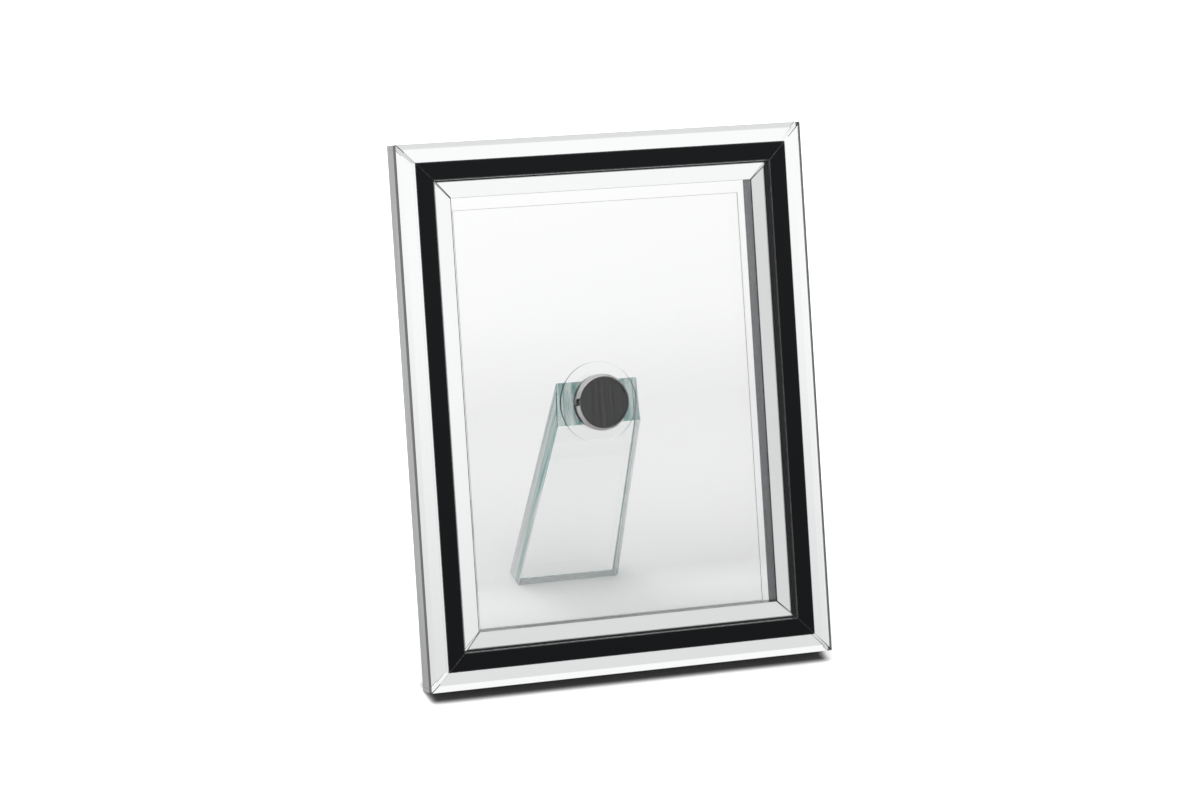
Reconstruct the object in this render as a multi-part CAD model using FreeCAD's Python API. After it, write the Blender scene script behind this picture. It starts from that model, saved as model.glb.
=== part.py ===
import FreeCAD, Part
import math
import os

V = FreeCAD.Vector

# Tabletop picture frame of mirror and black glass strips on a wooden carcass, in millimetres.
# It is drawn upright first: x to the right, y to the back, z up, the front plane at y = 0
# and the lower outer edge at z = 0. Then it is leaned back until it stands on its lower rear
# edge and on the foot of the glass leg. Origin: centre of the bounding box, on the table.

# Driving sizes of the frame as a whole
frame_width = 203.0
frame_height = 254.0
carcass_back = 13.5
lean_angle = 27.0

# Front strips, counted from the outer edge towards the picture
glass_thickness = 4.2
outer_strip_width = 8.7
black_strip_width = 8.6
inner_strip_width = 8.7
outer_bevel_width = 2.4
outer_bevel_drop = 0.8
inner_bevel_drop = 3.0
strip_arris = 0.25
mitre_gap = 0.3

# Mirror trims on the outer sides and on the walls of the picture well
side_trim_thickness = 2.0
well_trim_thickness = 2.0

# Back panel and loose picture cover
panel_thickness = 6.0
panel_lap = 15.0
panel_arris = 0.5
cover_thickness = 1.1
cover_gap = 0.2
cover_side_clearance = 3.5
cover_top_clearance = 5.8

# Magnet hub on the panel and its turning half on the leg
pad_diameter = 22.0
pad_thickness = 1.5
cup_diameter = 27.0
cup_bevel_width = 1.1
cup_bevel_depth = 2.2
cup_back_chamfer = 0.2
face_diameter = 24.5
face_thickness = 0.8
cup_web = 0.6
magnet_diameter = 20.0
magnet_thickness = 2.0
fit_clearance = 0.1
turning_gap = 0.2
keeper_diameter = 26.2
keeper_thickness = 3.9
keeper_bevel = 0.4
plate_diameter = 38.6
plate_thickness = 1.5

# Glass leg
leg_thickness = 12.5
leg_angle = 36.0
leg_top_width = 42.8
leg_foot_width = 52.4
leg_taper_length = 98.0
leg_arris = 0.4

# Values worked out from the sizes above
bar_width = outer_strip_width + black_strip_width + inner_strip_width
well_width = frame_width - 2 * bar_width
well_height = frame_height - 2 * bar_width
cup_thickness = face_thickness + cup_web + magnet_thickness
panel_back = carcass_back + panel_thickness
cup_front = panel_back + pad_thickness
cup_back = cup_front + cup_thickness
keeper_front = cup_back + turning_gap
plate_front = keeper_front + keeper_thickness
leg_front = plate_front + plate_thickness
hub_height = frame_height / 2
lean = math.radians(lean_angle)
spread = math.radians(leg_angle)

os.makedirs("parts", exist_ok=True)
nodes = {}


def bar_ends(side, inset):
    """Both ends, in x and z, of a line that runs along one bar, inset from the outer edge."""
    left = inset - frame_width / 2
    right = frame_width / 2 - inset
    low = inset
    high = frame_height - inset
    corners = {
        "bottom": ((left, low), (right, low)),
        "right": ((right, low), (right, high)),
        "top": ((right, high), (left, high)),
        "left": ((left, high), (left, low)),
    }
    return corners[side]


def flat_sided_solid(first, second):
    """Solid between two polygons with the same number of corners, joined corner to corner."""
    faces = [Part.Face(Part.makePolygon(ring + ring[:1])) for ring in (first, second)]
    for number in range(len(first)):
        last = number - 1
        side = [first[last], first[number], second[number], second[last]]
        faces.append(Part.Face(Part.makePolygon(side + side[:1])))
    shell = Part.makeShell(faces)
    shell.sewShape()
    solid = Part.Solid(shell)
    if solid.Volume < 0:
        solid.reverse()
    return solid


def mitred_bar(side, profile, gap=0.0):
    """Bar with mitred ends. The profile holds (inset, depth) points; a gap parts the mitres."""
    first = []
    second = []
    for inset, depth in profile:
        start, stop = bar_ends(side, inset)
        start = V(start[0], depth, start[1])
        stop = V(stop[0], depth, stop[1])
        step = (stop - start).normalize() * gap
        first.append(start + step)
        second.append(stop - step)
    return flat_sided_solid(first, second)


def outer_strip_profile():
    """Mirror strip at the outer edge, with a wide shallow bevel on its outer side."""
    inner = outer_strip_width
    return [
        (0, outer_bevel_drop),
        (outer_bevel_width, 0),
        (inner - strip_arris, 0),
        (inner, strip_arris),
        (inner, glass_thickness),
        (0, glass_thickness),
    ]


def black_strip_profile():
    """Flat black strip between the two mirror strips."""
    outer = outer_strip_width
    inner = outer + black_strip_width
    return [
        (outer, strip_arris),
        (outer + strip_arris, 0),
        (inner - strip_arris, 0),
        (inner, strip_arris),
        (inner, glass_thickness),
        (outer, glass_thickness),
    ]


def inner_strip_profile():
    """Mirror strip beside the picture, bevelled over its whole width towards the well."""
    outer = outer_strip_width + black_strip_width
    return [
        (outer, strip_arris),
        (outer + strip_arris, strip_arris * inner_bevel_drop / inner_strip_width),
        (bar_width, inner_bevel_drop),
        (bar_width, glass_thickness),
        (outer, glass_thickness),
    ]


def strip_box(low_inset, high_inset, front, back):
    """Rectangular profile between two insets and two depths."""
    return [(low_inset, front), (high_inset, front), (high_inset, back), (low_inset, back)]


def side_trim(side):
    """Trim on an outer side. The top and bottom ones lap over the ends of the other two."""
    depth = carcass_back - glass_thickness
    if side in ("top", "bottom"):
        low = 0 if side == "bottom" else frame_height - side_trim_thickness
        corner = V(-frame_width / 2, glass_thickness, low)
        return Part.makeBox(frame_width, depth, side_trim_thickness, corner)
    edge = -frame_width / 2 if side == "left" else frame_width / 2 - side_trim_thickness
    corner = V(edge, glass_thickness, side_trim_thickness)
    return Part.makeBox(side_trim_thickness, depth, frame_height - 2 * side_trim_thickness, corner)


def hub_disc(diameter, thickness, front):
    """Round disc on the hub axis, with its front face at a given depth."""
    return Part.makeCylinder(diameter / 2, thickness, V(0, front, hub_height), V(0, 1, 0))


def bevelled_hub_disc(diameter, thickness, front, bevel_width, bevel_depth, back_bevel):
    """Disc turned on the hub axis: a bevel round the front rim, an even chamfer round the back one."""
    radius = diameter / 2
    back = front + thickness
    outline = [
        V(0, front, hub_height),
        V(radius - bevel_width, front, hub_height),
        V(radius, front + bevel_depth, hub_height),
        V(radius, back - back_bevel, hub_height),
        V(radius - back_bevel, back, hub_height),
        V(0, back, hub_height),
    ]
    face = Part.Face(Part.makePolygon(outline + outline[:1]))
    return face.revolve(V(0, 0, hub_height), V(0, 1, 0), 360)


def make_bars():
    """Strips, carcass rails and trims of the four sides."""
    rail = strip_box(side_trim_thickness, bar_width - well_trim_thickness, glass_thickness, carcass_back)
    well = strip_box(bar_width - well_trim_thickness, bar_width, glass_thickness, carcass_back)
    for side in ("top", "bottom", "left", "right"):
        nodes["outer_mirror_" + side] = mitred_bar(side, outer_strip_profile(), mitre_gap / 2)
        nodes["black_strip_" + side] = mitred_bar(side, black_strip_profile(), mitre_gap / 2)
        nodes["inner_mirror_" + side] = mitred_bar(side, inner_strip_profile(), mitre_gap / 2)
        nodes["rail_" + side] = mitred_bar(side, rail)
        nodes["side_trim_" + side] = side_trim(side)
        nodes["well_trim_" + side] = mitred_bar(side, well)


def make_panel():
    """Clear back panel, glued over the backs of the rails round the well."""
    inset = bar_width - panel_lap
    size = V(frame_width - 2 * inset, panel_thickness, frame_height - 2 * inset)
    panel = Part.makeBox(size.x, size.y, size.z, V(-size.x / 2, carcass_back, inset))
    nodes["back_panel"] = panel.makeChamfer(panel_arris, panel.Edges)


def make_cover():
    """Loose clear sheet that stands on the floor of the well, in front of the panel."""
    front = carcass_back - cover_gap - cover_thickness
    width = well_width - 2 * cover_side_clearance
    height = well_height - cover_gap - cover_top_clearance
    corner = V(-width / 2, front, bar_width + cover_gap)
    nodes["picture_cover"] = Part.makeBox(width, cover_thickness, height, corner)


def make_hub():
    """Magnet cup stuck to the panel, and the keeper and clear plate that turn with the leg."""
    nodes["hub_pad"] = hub_disc(pad_diameter, pad_thickness, panel_back)
    cup = bevelled_hub_disc(
        cup_diameter, cup_thickness, cup_front, cup_bevel_width, cup_bevel_depth, cup_back_chamfer
    )
    recess = hub_disc(face_diameter + fit_clearance, face_thickness, cup_front)
    pocket_front = cup_front + face_thickness + cup_web
    pocket = hub_disc(magnet_diameter + fit_clearance, magnet_thickness, pocket_front)
    nodes["magnet_cup"] = cup.cut(recess).cut(pocket)
    nodes["hub_face"] = hub_disc(face_diameter, face_thickness, cup_front)
    nodes["magnet"] = hub_disc(magnet_diameter, magnet_thickness, pocket_front)
    nodes["keeper_disc"] = bevelled_hub_disc(
        keeper_diameter, keeper_thickness, keeper_front, keeper_bevel, keeper_bevel, keeper_bevel
    )
    nodes["turn_plate"] = hub_disc(plate_diameter, plate_thickness, plate_front)


def leg_point(along, through):
    """Depth and height of a point of the leg: along it from the seat, and through its thickness."""
    seat_length = leg_thickness / math.sin(spread)
    depth = leg_front + along * math.sin(spread) + through * math.cos(spread)
    height = hub_height - seat_length / 2 - along * math.cos(spread) + through * math.sin(spread)
    return depth, height


def length_to_table(through):
    """How far along the leg the table cuts it, at a place through its thickness."""
    depth, height = leg_point(0, through)
    above = height * math.cos(lean) - (depth - carcass_back) * math.sin(lean)
    return above / math.cos(spread - lean)


def make_leg():
    """Tapered glass slab: seat cut parallel to the panel, foot cut level with the table."""
    seat_rise = leg_thickness / math.tan(spread)
    taper = (leg_foot_width - leg_top_width) / 2 / leg_taper_length
    corners = [
        (0, 0),
        (-seat_rise, leg_thickness),
        (length_to_table(leg_thickness), leg_thickness),
        (length_to_table(0), 0),
    ]
    flanks = []
    for hand in (-1, 1):
        points = []
        for along, through in corners:
            depth, height = leg_point(along, through)
            half = leg_top_width / 2 + taper * along
            points.append(V(hand * half, depth, height))
        flanks.append(points)
    slab = flat_sided_solid(*flanks)
    nodes["leg"] = slab.makeChamfer(leg_arris, slab.Edges)


def stand_up():
    """Lean every piece back and set the whole on the table, centred over the origin."""
    placed = {}
    for name, shape in nodes.items():
        shape = shape.copy()
        shape.rotate(V(0, 0, 0), V(1, 0, 0), -lean_angle)
        placed[name] = shape
    box = Part.makeCompound(list(placed.values())).BoundBox
    rise = carcass_back * math.sin(lean)
    shift = V(0, -(box.YMin + box.YMax) / 2, rise)
    for shape in placed.values():
        shape.translate(shift)
    return placed, shift


make_bars()
make_panel()
make_cover()
make_hub()
make_leg()
placed_nodes, placed_shift = stand_up()

for node_name, node_shape in placed_nodes.items():
    if len(node_shape.Solids) != 1 or not node_shape.isValid() or node_shape.Volume <= 0:
        raise ValueError("bad solid: " + node_name)
    node_shape.exportStep("parts/" + node_name + ".step")

# Places that the joints and the seats need, in the standing frame
hub_upright = V(0, cup_back, hub_height)
axis = V(0, math.cos(lean), -math.sin(lean))
hub_point = FreeCAD.Rotation(V(1, 0, 0), -lean_angle).multVec(hub_upright) + placed_shift
whole = Part.makeCompound(list(placed_nodes.values())).BoundBox
print("nodes", len(placed_nodes))
print("box", whole.XMin, whole.YMin, whole.ZMin, whole.XMax, whole.YMax, whole.ZMax)
print("shift", placed_shift.y, placed_shift.z)
print("hub point", hub_point.x, hub_point.y, hub_point.z)
print("hub axis", axis.x, axis.y, axis.z)
print("leg length", length_to_table(0), length_to_table(leg_thickness))
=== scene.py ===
"""Tabletop picture frame: mirror and black glass strips, a clear back panel and a thick glass leg."""

import math

import bmesh
import bpy
from mathutils import Matrix, Vector


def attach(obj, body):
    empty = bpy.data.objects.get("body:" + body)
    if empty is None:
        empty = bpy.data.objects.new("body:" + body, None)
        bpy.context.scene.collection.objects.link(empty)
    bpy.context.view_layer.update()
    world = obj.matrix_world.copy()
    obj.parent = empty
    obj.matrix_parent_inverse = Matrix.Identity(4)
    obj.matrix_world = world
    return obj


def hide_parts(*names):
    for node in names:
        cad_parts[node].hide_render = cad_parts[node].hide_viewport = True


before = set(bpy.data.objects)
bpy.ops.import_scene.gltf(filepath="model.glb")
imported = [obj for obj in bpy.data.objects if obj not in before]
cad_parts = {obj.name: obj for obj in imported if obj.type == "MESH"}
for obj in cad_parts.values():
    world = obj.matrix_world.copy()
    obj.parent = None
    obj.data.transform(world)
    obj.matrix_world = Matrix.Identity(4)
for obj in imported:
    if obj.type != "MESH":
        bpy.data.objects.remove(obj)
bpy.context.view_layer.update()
scene = bpy.context.scene

# Sizes in millimetres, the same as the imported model's
MM = 0.001
LEAN = math.radians(27.0)
STAND_BACK = -64.09006
STAND_UP = 6.12887
FRAME_WIDTH = 203.0
FRAME_HEIGHT = 254.0
OUTER_STRIP = 8.7
BLACK_STRIP = 8.6
INNER_STRIP = 8.7
BAR_WIDTH = OUTER_STRIP + BLACK_STRIP + INNER_STRIP
INNER_START = OUTER_STRIP + BLACK_STRIP
HUB_HEIGHT = FRAME_HEIGHT / 2
LEG_TILT = LEAN - math.radians(36.0)
SIDES = ("top", "bottom", "left", "right")

# Silver behind the strip glass: its depth, and how far it stays clear of the strips' edges
SILVER_FRONT = 4.0
SILVER_BACK = 4.08
SILVER_CLEAR = 0.12
SILVER_CLEAR_OF_BLACK = 0.045
SILVER_CLEAR_OF_PAINT = 0.15

# Black paint in the inner strip, along the edge that meets the black one
PAINT_START = 0.06
PAINT_STOP = 0.12
PAINT_FRONT = 0.35

# Air between the outer and the black strip, and how wide a rim of the glass belongs to that edge
AIR_GAP = 0.03
GAP_RIM = 0.35

# Widths that the polisher takes off the edges of strips, trims and thick glass
STRIP_EDGE = 0.1
COVER_EDGE = 0.14
GLASS_EDGE = 0.15

# Depths of the fronts of the hub's pieces
PAD_FRONT = 19.5
CUP_FRONT = 21.0
MAGNET_FRONT = 22.4
KEEPER_FRONT = 24.6
PLATE_FRONT = 28.5

# Directions of the leaning frame: to the right, up along the glass, and straight through to the back
ACROSS = Vector((1, 0, 0))
UPWARD = Vector((0, math.sin(LEAN), math.cos(LEAN)))
THROUGH = Vector((0, math.cos(LEAN), -math.sin(LEAN)))
ORIGIN = Vector((0, STAND_BACK, STAND_UP)) * MM


def standing(x, depth, height):
    """Place in the row frame of a point given on the upright frame, in millimetres."""
    return ORIGIN + (ACROSS * x + THROUGH * depth + UPWARD * height) * MM


# Camera: at the photograph's viewing angle, with the slight turn that the photograph has
CAMERA_PLACE = Vector((-667.5, -1524.9, 1003.0)) * MM
CAMERA_HEADING = math.radians(23.414)
CAMERA_DIP = math.radians(28.018)
CAMERA_ROLL = math.radians(6.729)
CAMERA_LENS = 120.0


def add_camera():
    """Camera that looks down at the frame from the front left."""
    ahead = Vector(
        (
            math.sin(CAMERA_HEADING) * math.cos(CAMERA_DIP),
            math.cos(CAMERA_HEADING) * math.cos(CAMERA_DIP),
            -math.sin(CAMERA_DIP),
        )
    )
    level = Vector((math.cos(CAMERA_HEADING), -math.sin(CAMERA_HEADING), 0))
    upright = level.cross(ahead)
    right = level * math.cos(CAMERA_ROLL) + upright * math.sin(CAMERA_ROLL)
    up = upright * math.cos(CAMERA_ROLL) - level * math.sin(CAMERA_ROLL)
    data = bpy.data.cameras.new("photo_camera")
    data.sensor_width = 36.0
    data.lens = CAMERA_LENS
    data.clip_start = 0.05
    data.clip_end = 60.0
    camera = bpy.data.objects.new("photo_camera", data)
    turn = Matrix((right, up, -ahead)).transposed()
    camera.matrix_world = Matrix.Translation(CAMERA_PLACE) @ turn.to_4x4()
    scene.collection.objects.link(camera)
    scene.camera = camera


# Node helpers


class NodeBench:
    """Adds nodes to one node tree and joins them with short calls."""

    def __init__(self, tree):
        self.tree = tree

    def add(self, kind, settings=None, **inputs):
        node = self.tree.nodes.new(kind)
        for name, value in (settings or {}).items():
            setattr(node, name, value)
        for name, value in inputs.items():
            self.put(node, name.replace("_", " "), value)
        return node

    def put(self, node, name, value):
        socket = node.inputs[name] if isinstance(name, int) else self.find(node, name)
        if isinstance(value, bpy.types.NodeSocket):
            self.tree.links.new(value, socket)
        else:
            socket.default_value = value

    def find(self, node, name):
        named = [s for s in node.inputs if s.name == name and s.enabled]
        return named[0] if named else node.inputs[name]


def make_group(name, inputs, outputs):
    """Empty shader node group with named sockets. Each entry is (name, kind, default)."""
    tree = bpy.data.node_groups.new(name, "ShaderNodeTree")
    for label, kind, default in inputs:
        socket = tree.interface.new_socket(name=label, in_out="INPUT", socket_type=kind)
        if default is not None:
            socket.default_value = default
    for label, kind in outputs:
        tree.interface.new_socket(name=label, in_out="OUTPUT", socket_type=kind)
    bench = NodeBench(tree)
    entry = tree.nodes.new("NodeGroupInput")
    leave = tree.nodes.new("NodeGroupOutput")
    return tree, bench, entry, leave


NUMBER = "NodeSocketFloat"
COLOUR = "NodeSocketColor"
DIRECTION = "NodeSocketVector"


def hand_smudges_group():
    """Faint wiped patches and pinpoint dust on polished glass and metal."""
    tree, bench, entry, leave = make_group(
        "Hand Smudges",
        [
            ("Place", DIRECTION, None),
            ("Clean Roughness", NUMBER, 0.01),
            ("Smudged Roughness", NUMBER, 0.06),
            ("Patch Size", NUMBER, 30.0),
        ],
        [("Roughness", NUMBER), ("Mask", NUMBER), ("Height", NUMBER)],
    )
    patches = bench.add(
        "ShaderNodeTexNoise",
        Vector=entry.outputs["Place"],
        Scale=entry.outputs["Patch Size"],
        Detail=5.0,
        Roughness=0.62,
        Distortion=1.4,
    )
    soft = bench.add("ShaderNodeMapRange", {"interpolation_type": "SMOOTHSTEP"})
    bench.put(soft, "Value", patches.outputs["Fac"])
    bench.put(soft, "From Min", 0.5)
    bench.put(soft, "From Max", 0.72)
    specks = bench.add(
        "ShaderNodeTexVoronoi", {"feature": "F1"}, Vector=entry.outputs["Place"], Scale=420.0
    )
    points = bench.add("ShaderNodeMapRange", {"interpolation_type": "SMOOTHSTEP"})
    bench.put(points, "Value", specks.outputs["Distance"])
    bench.put(points, "From Min", 0.09)
    bench.put(points, "From Max", 0.02)
    rare = bench.add("ShaderNodeMath", {"operation": "GREATER_THAN"})
    bench.put(rare, 0, bench.add("ShaderNodeSeparateColor", Color=specks.outputs["Color"]).outputs[0])
    bench.put(rare, 1, 0.9)
    dust = bench.add("ShaderNodeMath", {"operation": "MULTIPLY"})
    bench.put(dust, 0, points.outputs["Result"])
    bench.put(dust, 1, rare.outputs["Value"])
    most = bench.add("ShaderNodeMath", {"operation": "MAXIMUM"})
    bench.put(most, 0, soft.outputs["Result"])
    bench.put(most, 1, dust.outputs["Value"])
    blend = bench.add("ShaderNodeMapRange")
    bench.put(blend, "Value", most.outputs["Value"])
    bench.put(blend, "To Min", entry.outputs["Clean Roughness"])
    bench.put(blend, "To Max", entry.outputs["Smudged Roughness"])
    tree.links.new(blend.outputs["Result"], leave.inputs["Roughness"])
    tree.links.new(dust.outputs["Value"], leave.inputs["Mask"])
    tree.links.new(most.outputs["Value"], leave.inputs["Height"])
    return tree


def brushed_lines_group():
    """Fine parallel brush marks that run along the frame's height."""
    tree, bench, entry, leave = make_group(
        "Brushed Lines",
        [
            ("Place", DIRECTION, None),
            ("Lines Across", NUMBER, 3000.0),
            ("Lines Along", NUMBER, 40.0),
            ("Dark", COLOUR, (0.1, 0.1, 0.1, 1)),
            ("Light", COLOUR, (0.3, 0.3, 0.3, 1)),
            ("Spread", NUMBER, 0.2),
        ],
        [("Color", COLOUR), ("Height", NUMBER)],
    )
    turned = bench.add(
        "ShaderNodeVectorRotate", {"rotation_type": "X_AXIS"}, Vector=entry.outputs["Place"], Angle=LEAN
    )
    split = bench.add("ShaderNodeSeparateXYZ", Vector=turned.outputs["Vector"])
    across = bench.add("ShaderNodeMath", {"operation": "MULTIPLY"})
    bench.put(across, 0, split.outputs["X"])
    bench.put(across, 1, entry.outputs["Lines Across"])
    along = bench.add("ShaderNodeMath", {"operation": "MULTIPLY"})
    bench.put(along, 0, split.outputs["Z"])
    bench.put(along, 1, entry.outputs["Lines Along"])
    depth = bench.add("ShaderNodeMath", {"operation": "MULTIPLY"})
    bench.put(depth, 0, split.outputs["Y"])
    bench.put(depth, 1, entry.outputs["Lines Across"])
    place = bench.add("ShaderNodeCombineXYZ")
    bench.put(place, "X", across.outputs["Value"])
    bench.put(place, "Y", depth.outputs["Value"])
    bench.put(place, "Z", along.outputs["Value"])
    lines = bench.add(
        "ShaderNodeTexNoise", Vector=place.outputs["Vector"], Scale=1.0, Detail=3.0, Roughness=0.7
    )
    spread = bench.add("ShaderNodeMapRange")
    bench.put(spread, "Value", lines.outputs["Fac"])
    low = bench.add("ShaderNodeMath", {"operation": "SUBTRACT"})
    bench.put(low, 0, 0.5)
    bench.put(low, 1, entry.outputs["Spread"])
    high = bench.add("ShaderNodeMath", {"operation": "ADD"})
    bench.put(high, 0, 0.5)
    bench.put(high, 1, entry.outputs["Spread"])
    bench.put(spread, "From Min", low.outputs["Value"])
    bench.put(spread, "From Max", high.outputs["Value"])
    tint = bench.add("ShaderNodeMix", {"data_type": "RGBA"})
    bench.put(tint, "Factor", spread.outputs["Result"])
    bench.put(tint, "A", entry.outputs["Dark"])
    bench.put(tint, "B", entry.outputs["Light"])
    tree.links.new(tint.outputs[2], leave.inputs["Color"])
    tree.links.new(spread.outputs["Result"], leave.inputs["Height"])
    return tree


def wood_grain_group():
    """Stained close-grained wood: long streaks with fine pores."""
    tree, bench, entry, leave = make_group(
        "Stained Grain",
        [
            ("Place", DIRECTION, None),
            ("Dark", COLOUR, (0.02, 0.018, 0.016, 1)),
            ("Light", COLOUR, (0.06, 0.05, 0.045, 1)),
        ],
        [("Color", COLOUR), ("Roughness", NUMBER), ("Height", NUMBER)],
    )
    stretch = bench.add("ShaderNodeMapping", Vector=entry.outputs["Place"])
    bench.put(stretch, "Scale", (260.0, 260.0, 18.0))
    streaks = bench.add(
        "ShaderNodeTexNoise",
        Vector=stretch.outputs["Vector"],
        Scale=1.0,
        Detail=6.0,
        Roughness=0.65,
        Distortion=0.6,
    )
    pores = bench.add(
        "ShaderNodeTexNoise", Vector=entry.outputs["Place"], Scale=1400.0, Detail=2.0, Roughness=0.5
    )
    both = bench.add("ShaderNodeMix", {"data_type": "FLOAT"})
    bench.put(both, "Factor", 0.3)
    bench.put(both, "A", streaks.outputs["Fac"])
    bench.put(both, "B", pores.outputs["Fac"])
    tint = bench.add("ShaderNodeMix", {"data_type": "RGBA"})
    bench.put(tint, "Factor", both.outputs[0])
    bench.put(tint, "A", entry.outputs["Dark"])
    bench.put(tint, "B", entry.outputs["Light"])
    rough = bench.add("ShaderNodeMapRange")
    bench.put(rough, "Value", both.outputs[0])
    bench.put(rough, "To Min", 0.45)
    bench.put(rough, "To Max", 0.75)
    tree.links.new(tint.outputs[2], leave.inputs["Color"])
    tree.links.new(rough.outputs["Result"], leave.inputs["Roughness"])
    tree.links.new(both.outputs[0], leave.inputs["Height"])
    return tree


SMUDGES = hand_smudges_group()
BRUSHED = brushed_lines_group()
GRAIN = wood_grain_group()


def start_material(name):
    """Empty node material with its place in the row frame and its shader."""
    material = bpy.data.materials.new(name)
    material.use_nodes = True
    material.node_tree.nodes.clear()
    bench = NodeBench(material.node_tree)
    place = bench.add("ShaderNodeTexCoord").outputs["Object"]
    shader = bench.add("ShaderNodeBsdfPrincipled")
    output = bench.add("ShaderNodeOutputMaterial")
    bench.put(output, "Surface", shader.outputs["BSDF"])
    return material, bench, place, shader


def add_smudges(bench, place, shader, clean, smudged, size=30.0, bump=0.02):
    """Wiped patches and dust in the roughness and, faintly, in the surface."""
    smudges = bench.add("ShaderNodeGroup", {"node_tree": SMUDGES})
    bench.put(smudges, "Place", place)
    bench.put(smudges, "Clean Roughness", clean)
    bench.put(smudges, "Smudged Roughness", smudged)
    bench.put(smudges, "Patch Size", size)
    bench.put(shader, "Roughness", smudges.outputs["Roughness"])
    if bump:
        relief = bench.add("ShaderNodeBump", Strength=bump, Distance=0.0002)
        bench.put(relief, "Height", smudges.outputs["Height"])
        bench.put(shader, "Normal", relief.outputs["Normal"])
    return smudges


def silvering():
    """Silver layer behind the strip glass, with a few faint clouds of age."""
    material, bench, place, shader = start_material("silvering")
    smudges = add_smudges(bench, place, shader, 0.004, 0.02, 18.0, 0.0)
    tint = bench.add("ShaderNodeMix", {"data_type": "RGBA"})
    bench.put(tint, "Factor", smudges.outputs["Mask"])
    bench.put(tint, "A", (0.97, 0.975, 0.975, 1))
    bench.put(tint, "B", (0.8, 0.8, 0.79, 1))
    bench.put(shader, "Base Color", tint.outputs[2])
    shader.inputs["Metallic"].default_value = 1.0
    return material


def dark_lining():
    """Black glue and paint on the hidden edges of a strip."""
    material, bench, place, shader = start_material("edge_paint")
    add_smudges(bench, place, shader, 0.35, 0.6, 60.0, 0.0)
    shader.inputs["Base Color"].default_value = (0.008, 0.01, 0.01, 1)
    shader.inputs["Specular IOR Level"].default_value = 0.0
    return material


def ground_edge(name, dark, light, roughness):
    """Edge left by the grinding wheel: grey, a little green, with fine chips along it."""
    material, bench, place, shader = start_material(name)
    chips = bench.add("ShaderNodeTexNoise", Vector=place, Scale=900.0, Detail=3.0, Roughness=0.7)
    spread = bench.add("ShaderNodeMapRange")
    bench.put(spread, "Value", chips.outputs["Fac"])
    bench.put(spread, "From Min", 0.35)
    bench.put(spread, "From Max", 0.68)
    tint = bench.add("ShaderNodeMix", {"data_type": "RGBA"})
    bench.put(tint, "Factor", spread.outputs["Result"])
    bench.put(tint, "A", dark)
    bench.put(tint, "B", light)
    bench.put(shader, "Base Color", tint.outputs[2])
    relief = bench.add("ShaderNodeBump", Strength=0.25, Distance=0.00005)
    bench.put(relief, "Height", spread.outputs["Result"])
    bench.put(shader, "Normal", relief.outputs["Normal"])
    shader.inputs["Roughness"].default_value = roughness
    return material


def black_glass():
    """Deep black polished glass."""
    material, bench, place, shader = start_material("black_glass")
    smudges = add_smudges(bench, place, shader, 0.03, 0.12, 26.0, 0.0)
    tint = bench.add("ShaderNodeMix", {"data_type": "RGBA"})
    bench.put(tint, "Factor", smudges.outputs["Mask"])
    bench.put(tint, "A", (0.003, 0.0035, 0.005, 1))
    bench.put(tint, "B", (0.02, 0.02, 0.022, 1))
    bench.put(shader, "Base Color", tint.outputs[2])
    shader.inputs["IOR"].default_value = 1.22
    return material


def stained_wood():
    """Dark stained wood of the rails."""
    material, bench, place, shader = start_material("stained_wood")
    grain = bench.add("ShaderNodeGroup", {"node_tree": GRAIN})
    bench.put(grain, "Place", place)
    bench.put(shader, "Base Color", grain.outputs["Color"])
    bench.put(shader, "Roughness", grain.outputs["Roughness"])
    relief = bench.add("ShaderNodeBump", Strength=0.35, Distance=0.0002)
    bench.put(relief, "Height", grain.outputs["Height"])
    bench.put(shader, "Normal", relief.outputs["Normal"])
    return material


def brushed_metal(name, dark, light, roughness, across=3000.0, along=40.0, spread=0.2, bump=0.15):
    """Metal with fine brush marks along the frame's height."""
    material, bench, place, shader = start_material(name)
    lines = bench.add("ShaderNodeGroup", {"node_tree": BRUSHED})
    bench.put(lines, "Place", place)
    bench.put(lines, "Lines Across", across)
    bench.put(lines, "Lines Along", along)
    bench.put(lines, "Dark", dark)
    bench.put(lines, "Light", light)
    bench.put(lines, "Spread", spread)
    bench.put(shader, "Base Color", lines.outputs["Color"])
    relief = bench.add("ShaderNodeBump", Strength=bump, Distance=0.0001)
    bench.put(relief, "Height", lines.outputs["Height"])
    bench.put(shader, "Normal", relief.outputs["Normal"])
    shader.inputs["Metallic"].default_value = 1.0
    shader.inputs["Roughness"].default_value = roughness
    return material


def chrome_plate():
    """Chrome of the cup and the keeper."""
    material, bench, place, shader = start_material("chrome_plate")
    add_smudges(bench, place, shader, 0.02, 0.08, 90.0, 0.0)
    shader.inputs["Base Color"].default_value = (0.5, 0.495, 0.49, 1)
    shader.inputs["Metallic"].default_value = 1.0
    return material


def clear_glass(name, tint, clean=0.0, smudged=0.02, ior=1.5):
    """Clear glass or acrylic, tinted where light passes its surfaces."""
    material, bench, place, shader = start_material(name)
    add_smudges(bench, place, shader, clean, smudged, 22.0, 0.0)
    shader.inputs["Base Color"].default_value = tint
    shader.inputs["Transmission Weight"].default_value = 1.0
    shader.inputs["IOR"].default_value = ior
    return material


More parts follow.
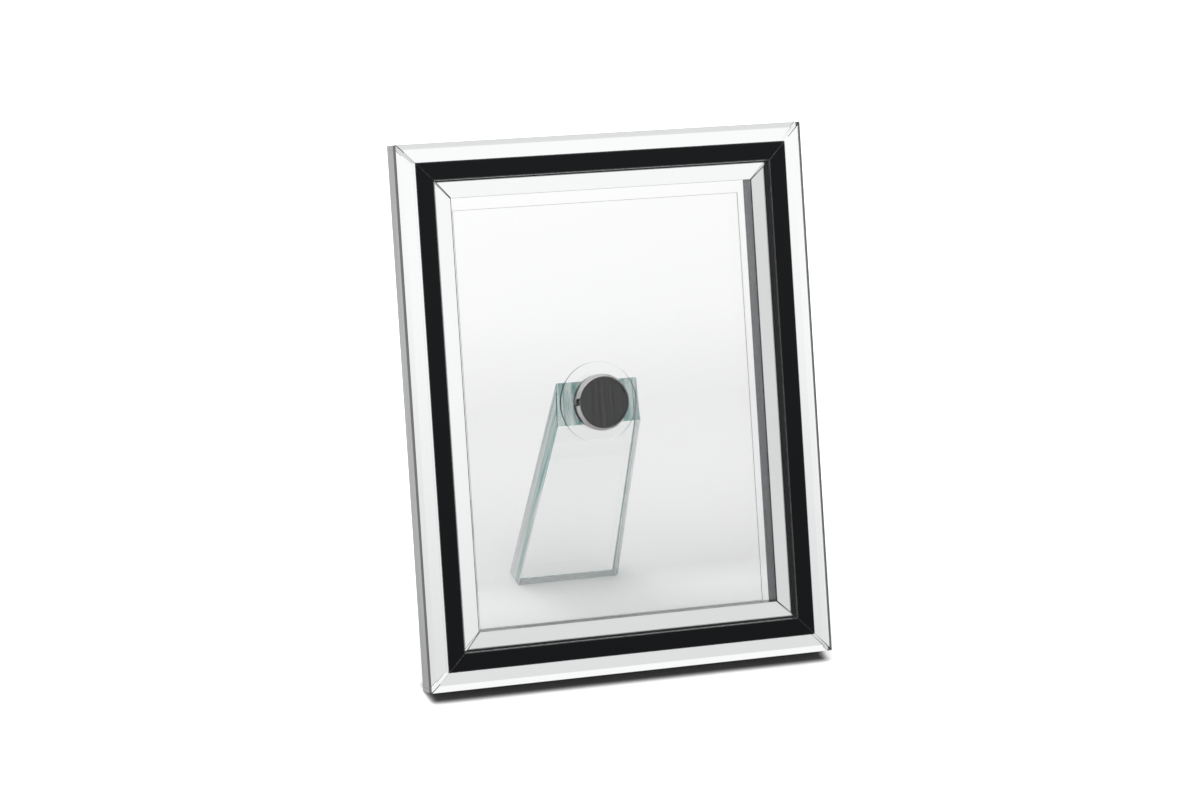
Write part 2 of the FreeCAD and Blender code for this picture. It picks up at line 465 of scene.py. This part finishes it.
def cut_glass(name, dark, light, transmission, roughness, scale, turn=LEAN):
    """Sawn and polished end of thick glass: streaks of sea green, half clear and half milky. Near-white
    light tones are partly painted light: highlights on the leg's sides and a paler foot.
    """
    material, bench, place, shader = start_material(name)
    turned = bench.add("ShaderNodeVectorRotate", {"rotation_type": "X_AXIS"}, Vector=place, Angle=turn)
    stretch = bench.add("ShaderNodeMapping", Vector=turned.outputs["Vector"])
    bench.put(stretch, "Scale", scale)
    streaks = bench.add(
        "ShaderNodeTexNoise",
        Vector=stretch.outputs["Vector"],
        Scale=1.0,
        Detail=4.0,
        Roughness=0.6,
        Distortion=0.4,
    )
    spread = bench.add("ShaderNodeMapRange", {"interpolation_type": "SMOOTHSTEP"})
    bench.put(spread, "Value", streaks.outputs["Fac"])
    bench.put(spread, "From Min", 0.36)
    bench.put(spread, "From Max", 0.62)
    tint = bench.add("ShaderNodeMix", {"data_type": "RGBA"})
    bench.put(tint, "Factor", spread.outputs["Result"])
    bench.put(tint, "A", dark)
    bench.put(tint, "B", light)
    bench.put(shader, "Base Color", tint.outputs[2])
    relief = bench.add("ShaderNodeBump", Strength=0.3, Distance=0.0003)
    bench.put(relief, "Height", spread.outputs["Result"])
    bench.put(shader, "Normal", relief.outputs["Normal"])
    shader.inputs["Transmission Weight"].default_value = transmission
    shader.inputs["Roughness"].default_value = roughness
    shader.inputs["IOR"].default_value = 1.52
    return material


FINISH = {
    "strip_glass": clear_glass("strip_glass", (0.985, 0.995, 0.99, 1), ior=1.36),
    "silver": silvering(),
    "lining": dark_lining(),
    "ground": ground_edge("ground_edge", (0.02, 0.025, 0.025, 1), (0.075, 0.085, 0.08, 1), 0.3),
    # Black strips' arrises: lighter ground finish, partly a ground edge's grey and partly a painted
    # highlight
    "arris": ground_edge("black_arris_ground_and_painted_glint", (0.02, 0.02, 0.02, 1), (0.13, 0.13, 0.125, 1), 0.3),
    "cover_edge": ground_edge("cover_edge", (0.5, 0.51, 0.52, 1), (0.75, 0.76, 0.77, 1), 0.3),
    "black": black_glass(),
    "wood": stained_wood(),
    "side_trim": brushed_metal(
        "side_trim_foil", (0.38, 0.38, 0.385, 1), (0.5, 0.5, 0.505, 1), 0.22, 900.0, 14.0
    ),
    # Well walls: a darker copy of the side trims' brushed foil, which is painted shade in the recess
    "well_trim": brushed_metal(
        "well_trim_foil_painted_shade", (0.11, 0.115, 0.125, 1), (0.16, 0.165, 0.175, 1), 0.25, 900.0, 14.0
    ),
    "panel": clear_glass("panel_glass", (0.995, 0.998, 0.997, 1), 0.0, 0.003, 1.25),
    "cover": clear_glass("cover_sheet", (0.995, 0.995, 0.997, 1), 0.0, 0.003, 1.15),
    "pad": clear_glass("clear_pad", (0.99, 0.995, 0.993, 1), 0.0, 0.01, 1.05),
    "acrylic": clear_glass("clear_acrylic", (0.99, 0.995, 0.993, 1), ior=1.49),
    "leg": clear_glass("leg_glass", (0.985, 0.995, 0.993, 1), ior=1.5),
    "leg_end": cut_glass(
        "leg_end_glass", (0.05, 0.3, 0.27, 1), (0.8, 0.98, 0.94, 1), 0.7, 0.2, (330.0, 60.0, 30.0)
    ),
    # Leg's foot: a paler grey copy of the cut-end glass, which is painted light in place of the shade
    # where it rests
    "leg_foot": cut_glass(
        "leg_foot_glass_painted_light", (0.62, 0.68, 0.68, 1), (0.97, 0.99, 0.99, 1), 0.6, 0.12, (60.0, 200.0, 30.0)
    ),
    # Leg's sides: the sea green is the glass's own, and the white streaks are partly painted highlights
    "leg_flank": cut_glass(
        "leg_flank_glass_with_painted_glints", (0.22, 0.57, 0.52, 1), (1, 1, 1, 1), 0.45, 0.06, (60.0, 330.0, 11.0), LEG_TILT
    ),
    "chrome": chrome_plate(),
    "dark_chrome": brushed_metal(
        "keeper_steel", (0.03, 0.03, 0.03, 1), (0.12, 0.115, 0.11, 1), 0.14, 700.0, 700.0, bump=0.03
    ),
    "hub_face": brushed_metal(
        "hub_face_steel", (0.036, 0.036, 0.036, 1), (0.064, 0.064, 0.064, 1), 0.34, 1300.0, 10.0, 0.12, 0.1
    ),
    "magnet": brushed_metal("magnet_nickel", (0.5, 0.5, 0.49, 1), (0.62, 0.62, 0.6, 1), 0.3),
}


# Pieces


def give(piece, *finishes):
    """Replaces a piece's material slots with one finish or several."""
    if piece.data.materials:
        piece.data.materials.clear()
    for finish in finishes:
        piece.data.materials.append(FINISH[finish])


def link_piece(mesh, name, finish, body, nodes=()):
    """Puts a finished mesh in the scene, riding on its body."""
    piece = bpy.data.objects.new(name, mesh)
    scene.collection.objects.link(piece)
    give(piece, *((finish,) if isinstance(finish, str) else finish))
    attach(piece, body)
    if nodes:
        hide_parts(*nodes)
    return piece


def polished_copy(node, finish, body, edge, steps=2, sort=None, gap=None):
    """The node's own solid with its sharp edges taken off, as a glass cutter or polisher does.

    Where a second finish is given, it goes on the edges taken off. A sort function may give each
    face its own finish, by its number. A gap function may shift corners, and the edges between
    shifted corners stay sharp.
    """
    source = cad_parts[node]
    mesh = bmesh.new()
    mesh.from_mesh(source.data)
    bmesh.ops.remove_doubles(mesh, verts=mesh.verts, dist=0.000005)
    bmesh.ops.dissolve_limit(
        mesh, angle_limit=math.radians(1.0), verts=mesh.verts, edges=mesh.edges
    )
    shifted = set()
    if gap:
        for corner in mesh.verts:
            shift = gap(corner.co)
            if shift:
                corner.co += shift
                shifted.add(corner)
    sharp = [
        e
        for e in mesh.edges
        if len(e.link_faces) == 2
        and e.calc_face_angle() > math.radians(25)
        and not shifted.issuperset(e.verts)
    ]
    rounded = bmesh.ops.bevel(
        mesh,
        geom=sharp,
        offset=edge * MM,
        segments=steps,
        profile=0.5,
        affect="EDGES",
        clamp_overlap=True,
    )
    bmesh.ops.recalc_face_normals(mesh, faces=mesh.faces)
    if not isinstance(finish, str):
        for face in rounded["faces"]:
            face.material_index = 1
    if sort:
        for face in mesh.faces:
            face.material_index = sort(face)
    for face in mesh.faces:
        face.smooth = False
    made = bpy.data.meshes.new(node + "_polished")
    mesh.to_mesh(made)
    mesh.free()
    carried = made.attributes.get("custom_normal")
    if carried:
        made.attributes.remove(carried)
    return link_piece(made, node + "_polished", finish, body, (node,))


def turned_piece(name, front, outline, finish, body, node, segments=192):
    """Solid of revolution on the hub axis, from (radius, depth behind its front) points."""
    mesh = bmesh.new()
    rings = []
    for radius, behind in outline:
        depth = front + behind
        if radius == 0:
            rings.append([mesh.verts.new(standing(0, depth, HUB_HEIGHT))])
            continue
        ring = []
        for step in range(segments):
            angle = 2 * math.pi * step / segments
            x = radius * math.cos(angle)
            rise = radius * math.sin(angle)
            ring.append(mesh.verts.new(standing(x, depth, HUB_HEIGHT + rise)))
        rings.append(ring)
    for inner, outer in zip(rings, rings[1:]):
        for step in range(segments):
            after = (step + 1) % segments
            if len(inner) == 1:
                corners = (inner[0], outer[step], outer[after])
            elif len(outer) == 1:
                corners = (inner[step], outer[0], inner[after])
            else:
                corners = (inner[step], outer[step], outer[after], inner[after])
            mesh.faces.new(corners)
    bmesh.ops.recalc_face_normals(mesh, faces=mesh.faces)
    for face in mesh.faces:
        face.smooth = True
    made = bpy.data.meshes.new(name)
    mesh.to_mesh(made)
    mesh.free()
    made.set_sharp_from_angle(angle=math.radians(12))
    return link_piece(made, name, finish, body, (node,))


# For each side, its outward direction and the distance of its outer edge that way from ORIGIN
OUTWARD = {"left": -ACROSS, "right": ACROSS, "top": UPWARD, "bottom": -UPWARD}
OUTER_EDGE = {"left": FRAME_WIDTH / 2, "right": FRAME_WIDTH / 2, "top": FRAME_HEIGHT, "bottom": 0.0}


def inset_of(side, place):
    """How far in from the outer edge of one side a place lies, in millimetres."""
    return OUTER_EDGE[side] - (place - ORIGIN).dot(OUTWARD[side]) / MM


def bar_point(side, inset, share):
    """Place across and up the frame of a point on one bar, from one mitre (0) to the other (1)."""
    left = inset - FRAME_WIDTH / 2
    low = inset
    high = FRAME_HEIGHT - inset
    if side in ("top", "bottom"):
        return left * (1 - 2 * share), high if side == "top" else low
    return left if side == "left" else -left, low + (high - low) * share


def mitred_plate(name, side, profile, finish, short=0.2):
    """Thin bar with mitred ends, hidden in a strip, from (inset, depth) points in millimetres."""
    mesh = bmesh.new()
    rings = []
    for share in (0, 1):
        ring = []
        for inset, depth in profile:
            x, height = bar_point(side, inset, share)
            step = short if share == 0 else -short
            if side in ("left", "right"):
                height += step
            else:
                x += step
            ring.append(mesh.verts.new(standing(x, depth, height)))
        rings.append(ring)
    for first, last in zip(rings[0], rings[0][1:] + rings[0][:1]):
        other_last = rings[1][rings[0].index(last)]
        other_first = rings[1][rings[0].index(first)]
        mesh.faces.new((first, last, other_last, other_first))
    mesh.faces.new(rings[0])
    mesh.faces.new(rings[1])
    bmesh.ops.recalc_face_normals(mesh, faces=mesh.faces)
    made = bpy.data.meshes.new(name)
    mesh.to_mesh(made)
    mesh.free()
    return link_piece(made, name, finish, "frame", ())


def plate_profile(low_inset, high_inset, front, back):
    """Rectangle between two insets and two depths."""
    return [(low_inset, front), (high_inset, front), (high_inset, back), (low_inset, back)]


def slanted_face(face):
    """The narrow slanted faces of a black strip get the lighter ground finish: partly the grey of a ground
    edge, partly a painted highlight.
    """
    return 1 if 0.3 < -face.normal.dot(THROUGH) < 0.98 else face.material_index


def make_strips():
    """The mirror and black glass strips, the trims and the rails of the four sides."""
    outer_silver = plate_profile(
        SILVER_CLEAR, OUTER_STRIP - SILVER_CLEAR_OF_BLACK, SILVER_FRONT, SILVER_BACK
    )
    inner_silver = plate_profile(
        INNER_START + SILVER_CLEAR_OF_PAINT, BAR_WIDTH - SILVER_CLEAR, SILVER_FRONT, SILVER_BACK
    )
    edge_paint = plate_profile(
        INNER_START + PAINT_START, INNER_START + PAINT_STOP, PAINT_FRONT, SILVER_BACK
    )
    glass = ("strip_glass", "ground")
    black = ("black", "arris")
    for side in SIDES:
        outward = OUTWARD[side]

        def outer_face(face, outward=outward):
            """The ground side of a strip gets the ground finish."""
            return 1 if face.normal.dot(outward) > 0.95 else face.material_index

        def clear_of_black(place, side=side, outward=outward):
            """A hair of air parts the outer strip's square edge from the black one, so it mirrors."""
            inset = inset_of(side, place)
            if inset <= OUTER_STRIP - GAP_RIM:
                return None
            return outward * (inset - OUTER_STRIP + AIR_GAP) * MM

        polished_copy(
            "outer_mirror_" + side,
            glass,
            "frame",
            STRIP_EDGE,
            1,
            outer_face,
            clear_of_black,
        )
        polished_copy("black_strip_" + side, black, "frame", STRIP_EDGE, 1, slanted_face)
        polished_copy("inner_mirror_" + side, glass, "frame", STRIP_EDGE, 1)
        mitred_plate("outer_silver_" + side, side, outer_silver, "silver")
        mitred_plate("inner_silver_" + side, side, inner_silver, "silver")
        mitred_plate("inner_edge_paint_" + side, side, edge_paint, "lining")
        polished_copy("side_trim_" + side, "side_trim", "frame", GLASS_EDGE)
        polished_copy("well_trim_" + side, "well_trim", "frame", STRIP_EDGE)
        give(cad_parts["rail_" + side], "wood")


def leg_face(face):
    """Finish number of a face of the leg: the broad faces are clear, and the others are cut."""
    if face.material_index:
        return face.material_index
    if abs(face.normal.x) > 0.7:
        return 2
    if face.normal.z < -0.9:
        return 4
    broad = Vector((0, math.cos(LEG_TILT), -math.sin(LEG_TILT)))
    return 0 if abs(face.normal.dot(broad)) > 0.95 else 3


def make_clear_pieces():
    """Back panel, loose sheet, and the thick leg."""
    polished_copy("back_panel", "panel", "frame", GLASS_EDGE)
    polished_copy("picture_cover", ("cover", "cover_edge"), "cover", COVER_EDGE, 1)
    polished_copy(
        "leg",
        ("leg", "leg_flank", "leg_flank", "leg_end", "leg_foot"),
        "stand",
        GLASS_EDGE,
        2,
        leg_face,
    )


def make_hub():
    """Cup, face, magnet, keeper and plate, turned on the hub axis."""
    turned_piece(
        "hub_pad_disc",
        PAD_FRONT,
        [(0, 0.02), (10.9, 0.02), (11.0, 0.1), (11.0, 1.4), (10.9, 1.48), (0, 1.48)],
        "pad",
        "frame",
        "hub_pad",
    )
    turned_piece(
        "magnet_cup_turned",
        CUP_FRONT,
        [
            (0, 0.8),
            (12.3, 0.8),
            (12.3, 0.06),
            (12.34, 0.01),
            (12.4, 0),
            (12.46, 0.05),
            (13.42, 2.02),
            (13.48, 2.12),
            (13.5, 2.25),
            (13.5, 3.25),
            (13.42, 3.36),
            (13.3, 3.4),
            (10.05, 3.4),
            (10.05, 1.4),
            (0, 1.4),
        ],
        "chrome",
        "frame",
        "magnet_cup",
    )
    turned_piece(
        "hub_face_disc",
        CUP_FRONT,
        [(0, 0), (12.05, 0), (12.2, 0.08), (12.25, 0.2), (12.25, 0.8), (0, 0.8)],
        "hub_face",
        "frame",
        "hub_face",
    )
    turned_piece(
        "magnet_disc",
        MAGNET_FRONT,
        [(0, 0), (9.8, 0), (10.0, 0.2), (10.0, 1.8), (9.8, 2.0), (0, 2.0)],
        "magnet",
        "frame",
        "magnet",
    )
    turned_piece(
        "keeper_turned",
        KEEPER_FRONT,
        [
            (0, 0),
            (12.75, 0),
            (13.0, 0.12),
            (13.1, 0.38),
            (13.1, 3.52),
            (13.0, 3.76),
            (12.75, 3.86),
            (0, 3.86),
        ],
        "dark_chrome",
        "stand",
        "keeper_disc",
    )
    turned_piece(
        "turn_plate_disc",
        PLATE_FRONT,
        [
            (0, 0),
            (19.05, 0),
            (19.22, 0.06),
            (19.3, 0.25),
            (19.3, 1.2),
            (19.22, 1.38),
            (19.05, 1.45),
            (0, 1.45),
        ],
        "acrylic",
        "stand",
        "turn_plate",
    )


# Studio

# Light of the surroundings. Mirrors and glass see them greyer below a slope of the line of sight
WORLD_LIGHT = 0.7
SKY_LOW = 0.3
SKY_HIGH = 0.43
SKY_LOW_TONE = 0.76

# Tone of the table top: as lit, seen directly, and through glass at places from front to back, where the
# graded tones are painted light and shade
FLOOR_REACH = 12.0
FLOOR_TONE = 0.86
FLOOR_SEEN = 1.6
FLOOR_THROUGH_GLASS = 1.3
FLOOR_PAINTED_SHADING = ((-0.05, 1.28), (0.015, 1.15), (0.035, 0.93), (0.2, 0.87), (0.3, 0.97), (0.45, 1.01))

# Deep shade on the table under the frame's lower edge: where its soft sides start and end
SHADE_ENDS = (0.103, 0.097)
SHADE_FRONT = (-0.0652, -0.0602)
SHADE_BACK = (-0.043, -0.047)
SHADE_STRENGTH = 0.9

# Dark wall low on the left, shown by mirrors only, and how much of it shows at each height
WALL_X = -0.45
WALL_ENDS = (-0.3, 0.6)
WALL_HEIGHTS = (0.001, 0.145, 0.155)
WALL_SHOWN = (1, 1, 0)
WALL_TONE = (0.012, 0.014, 0.016, 1)

# Soft box lamp
LAMP_PLACE = (-0.5, 0.3, 1.9)
LAMP_TARGET = (0, 0, 0.1)
LAMP_SIZE = 1.4
LAMP_POWER = 14.0


def make_world():
    """White surroundings. Mirrors and clear glass see them a little greyer low down."""
    world = bpy.data.worlds.new("studio_world")
    scene.world = world
    world.use_nodes = True
    world.node_tree.nodes.clear()
    bench = NodeBench(world.node_tree)
    path = bench.add("ShaderNodeLightPath")
    direction = bench.add("ShaderNodeTexCoord").outputs["Generated"]
    height = bench.add("ShaderNodeSeparateXYZ", Vector=direction).outputs["Z"]
    grade = bench.add("ShaderNodeMapRange", {"interpolation_type": "SMOOTHSTEP"})
    bench.put(grade, "Value", height)
    bench.put(grade, "From Min", SKY_LOW)
    bench.put(grade, "From Max", SKY_HIGH)
    bench.put(grade, "To Min", SKY_LOW_TONE)
    bench.put(grade, "To Max", 1.0)
    mirrored = bench.add("ShaderNodeMath", {"operation": "MAXIMUM"})
    bench.put(mirrored, 0, path.outputs["Is Glossy Ray"])
    bench.put(mirrored, 1, path.outputs["Is Transmission Ray"])
    lit = bench.add("ShaderNodeMapRange")
    bench.put(lit, "Value", path.outputs["Is Camera Ray"])
    bench.put(lit, "To Min", WORLD_LIGHT)
    bench.put(lit, "To Max", 1.0)
    strength = bench.add("ShaderNodeMix", {"data_type": "FLOAT"})
    bench.put(strength, "Factor", mirrored.outputs["Value"])
    bench.put(strength, "A", lit.outputs["Result"])
    bench.put(strength, "B", grade.outputs["Result"])
    sky = bench.add("ShaderNodeBackground", Color=(1, 1, 1, 1))
    bench.put(sky, "Strength", strength.outputs[0])
    output = bench.add("ShaderNodeOutputWorld")
    bench.put(output, "Surface", sky.outputs["Background"])


def soft_step(bench, value, start, stop):
    """Number that goes smoothly from 0 at one value to 1 at another."""
    step = bench.add("ShaderNodeMapRange", {"interpolation_type": "SMOOTHSTEP"})
    bench.put(step, "Value", value)
    bench.put(step, "From Min", start)
    bench.put(step, "From Max", stop)
    return step.outputs["Result"]


def combined(bench, first, second, operation="MULTIPLY"):
    """Two numbers multiplied, or joined by another sum."""
    node = bench.add("ShaderNodeMath", {"operation": operation})
    bench.put(node, 0, first)
    bench.put(node, 1, second)
    return node.outputs["Value"]


def painted_shading_by_depth(bench, depth):
    """Tone of the table behind the frame as it shows through glass, from near to far: painted light and
    shade, graded by place.
    """
    near, far = FLOOR_PAINTED_SHADING[0][0], FLOOR_PAINTED_SHADING[-1][0]
    span = bench.add("ShaderNodeMapRange")
    bench.put(span, "Value", depth)
    bench.put(span, "From Min", near)
    bench.put(span, "From Max", far)
    ramp = bench.add("ShaderNodeValToRGB")
    bench.put(ramp, "Fac", span.outputs["Result"])
    stops = ramp.color_ramp.elements
    for place, tone in FLOOR_PAINTED_SHADING[1:-1]:
        stops.new((place - near) / (far - near))
    for stop, (place, tone) in zip(stops, FLOOR_PAINTED_SHADING):
        grey = tone / FLOOR_THROUGH_GLASS
        stop.color = (grey, grey, grey, 1)
    return combined(bench, ramp.outputs["Color"], FLOOR_THROUGH_GLASS)


def contact_tone(bench, place):
    """Tone of the table as the camera sees it, with deep shade under the frame's lower edge."""
    wide = bench.add("ShaderNodeMath", {"operation": "ABSOLUTE"})
    bench.put(wide, 0, place.outputs["X"])
    ends = soft_step(bench, wide.outputs["Value"], *SHADE_ENDS)
    front = soft_step(bench, place.outputs["Y"], *SHADE_FRONT)
    back = soft_step(bench, place.outputs["Y"], *SHADE_BACK)
    shade = combined(bench, combined(bench, ends, front), back)
    dimmed = combined(bench, shade, FLOOR_SEEN * -SHADE_STRENGTH)
    return combined(bench, dimmed, FLOOR_SEEN, "ADD")


def make_floor():
    """Plain pale table top. The camera sees it lighter than it shines on the object."""
    mesh = bmesh.new()
    low, high = -FLOOR_REACH, FLOOR_REACH
    places = ((low, low, 0), (high, low, 0), (high, high, 0), (low, high, 0))
    mesh.faces.new([mesh.verts.new(place) for place in places])
    made = bpy.data.meshes.new("table_top")
    mesh.to_mesh(made)
    mesh.free()
    floor = bpy.data.objects.new("table_top", made)
    scene.collection.objects.link(floor)
    material = bpy.data.materials.new("table_top_white")
    material.use_nodes = True
    material.node_tree.nodes.clear()
    bench = NodeBench(material.node_tree)
    path = bench.add("ShaderNodeLightPath")
    through = bench.add("ShaderNodeMapRange")
    bench.put(through, "Value", path.outputs["Is Transmission Ray"])
    bench.put(through, "To Min", FLOOR_TONE)
    place = bench.add("ShaderNodeSeparateXYZ", Vector=bench.add("ShaderNodeTexCoord").outputs["Object"])
    # Through glass the table gets painted light and shade, graded from front to back
    bench.put(through, "To Max", painted_shading_by_depth(bench, place.outputs["Y"]))
    tone = bench.add("ShaderNodeMix", {"data_type": "FLOAT"})
    bench.put(tone, "Factor", path.outputs["Is Camera Ray"])
    bench.put(tone, "A", through.outputs["Result"])
    bench.put(tone, "B", contact_tone(bench, place))
    matte = bench.add("ShaderNodeBsdfDiffuse")
    bench.put(matte, "Color", tone.outputs[0])
    output = bench.add("ShaderNodeOutputMaterial")
    bench.put(output, "Surface", matte.outputs["BSDF"])
    made.materials.append(material)


def wall_material():
    """Dark wall that only mirrors show. It fades out as its first UV number falls to 0."""
    material = bpy.data.materials.new("card_left_wall")
    material.use_nodes = True
    material.node_tree.nodes.clear()
    bench = NodeBench(material.node_tree)
    fade = bench.add("ShaderNodeSeparateXYZ", Vector=bench.add("ShaderNodeUVMap").outputs["UV"])
    mirrored = bench.add("ShaderNodeMath", {"operation": "GREATER_THAN"})
    bench.put(mirrored, 0, bench.add("ShaderNodeLightPath").outputs["Glossy Depth"])
    bench.put(mirrored, 1, 0.5)
    shown = combined(bench, fade.outputs["X"], mirrored.outputs["Value"])
    clear = bench.add("ShaderNodeBsdfTransparent")
    dark = bench.add("ShaderNodeEmission", Color=WALL_TONE, Strength=1.0)
    mix = bench.add("ShaderNodeMixShader")
    bench.put(mix, 0, shown)
    bench.put(mix, 1, clear.outputs["BSDF"])
    bench.put(mix, 2, dark.outputs["Emission"])
    output = bench.add("ShaderNodeOutputMaterial")
    bench.put(output, "Surface", mix.outputs["Shader"])
    return material


def make_dark_wall():
    """Dark wall low on the left, there only to give the hub's rim a dark reflection. It casts no shadow.
    """
    mesh = bmesh.new()
    fade = mesh.loops.layers.uv.new("fade")
    near, far = [[mesh.verts.new((WALL_X, y, z)) for z in WALL_HEIGHTS] for y in WALL_ENDS]
    for low in range(len(WALL_HEIGHTS) - 1):
        high = low + 1
        face = mesh.faces.new((near[low], near[high], far[high], far[low]))
        for loop, row in zip(face.loops, (low, high, high, low)):
            loop[fade].uv = (WALL_SHOWN[row], 0)
    made = bpy.data.meshes.new("card_left_wall")
    mesh.to_mesh(made)
    mesh.free()
    made.materials.append(wall_material())
    wall = bpy.data.objects.new("card_left_wall", made)
    scene.collection.objects.link(wall)
    wall.visible_camera = False
    wall.visible_diffuse = False
    wall.visible_shadow = False
    wall.visible_volume_scatter = False


def add_lamp():
    """Soft box above and behind the frame, to its left."""
    data = bpy.data.lights.new("soft_box_above", "AREA")
    data.shape = "SQUARE"
    data.size = LAMP_SIZE
    data.energy = LAMP_POWER
    lamp = bpy.data.objects.new("soft_box_above", data)
    lamp.location = LAMP_PLACE
    lamp.rotation_mode = "QUATERNION"
    lamp.rotation_quaternion = (Vector(LAMP_TARGET) - Vector(LAMP_PLACE)).to_track_quat("-Z", "Y")
    scene.collection.objects.link(lamp)


def make_studio():
    """Floor, surroundings, dark wall and soft box."""
    scene.view_settings.view_transform = "Standard"
    make_world()
    make_floor()
    make_dark_wall()
    add_lamp()


make_strips()
make_clear_pieces()
make_hub()
make_studio()
add_camera()
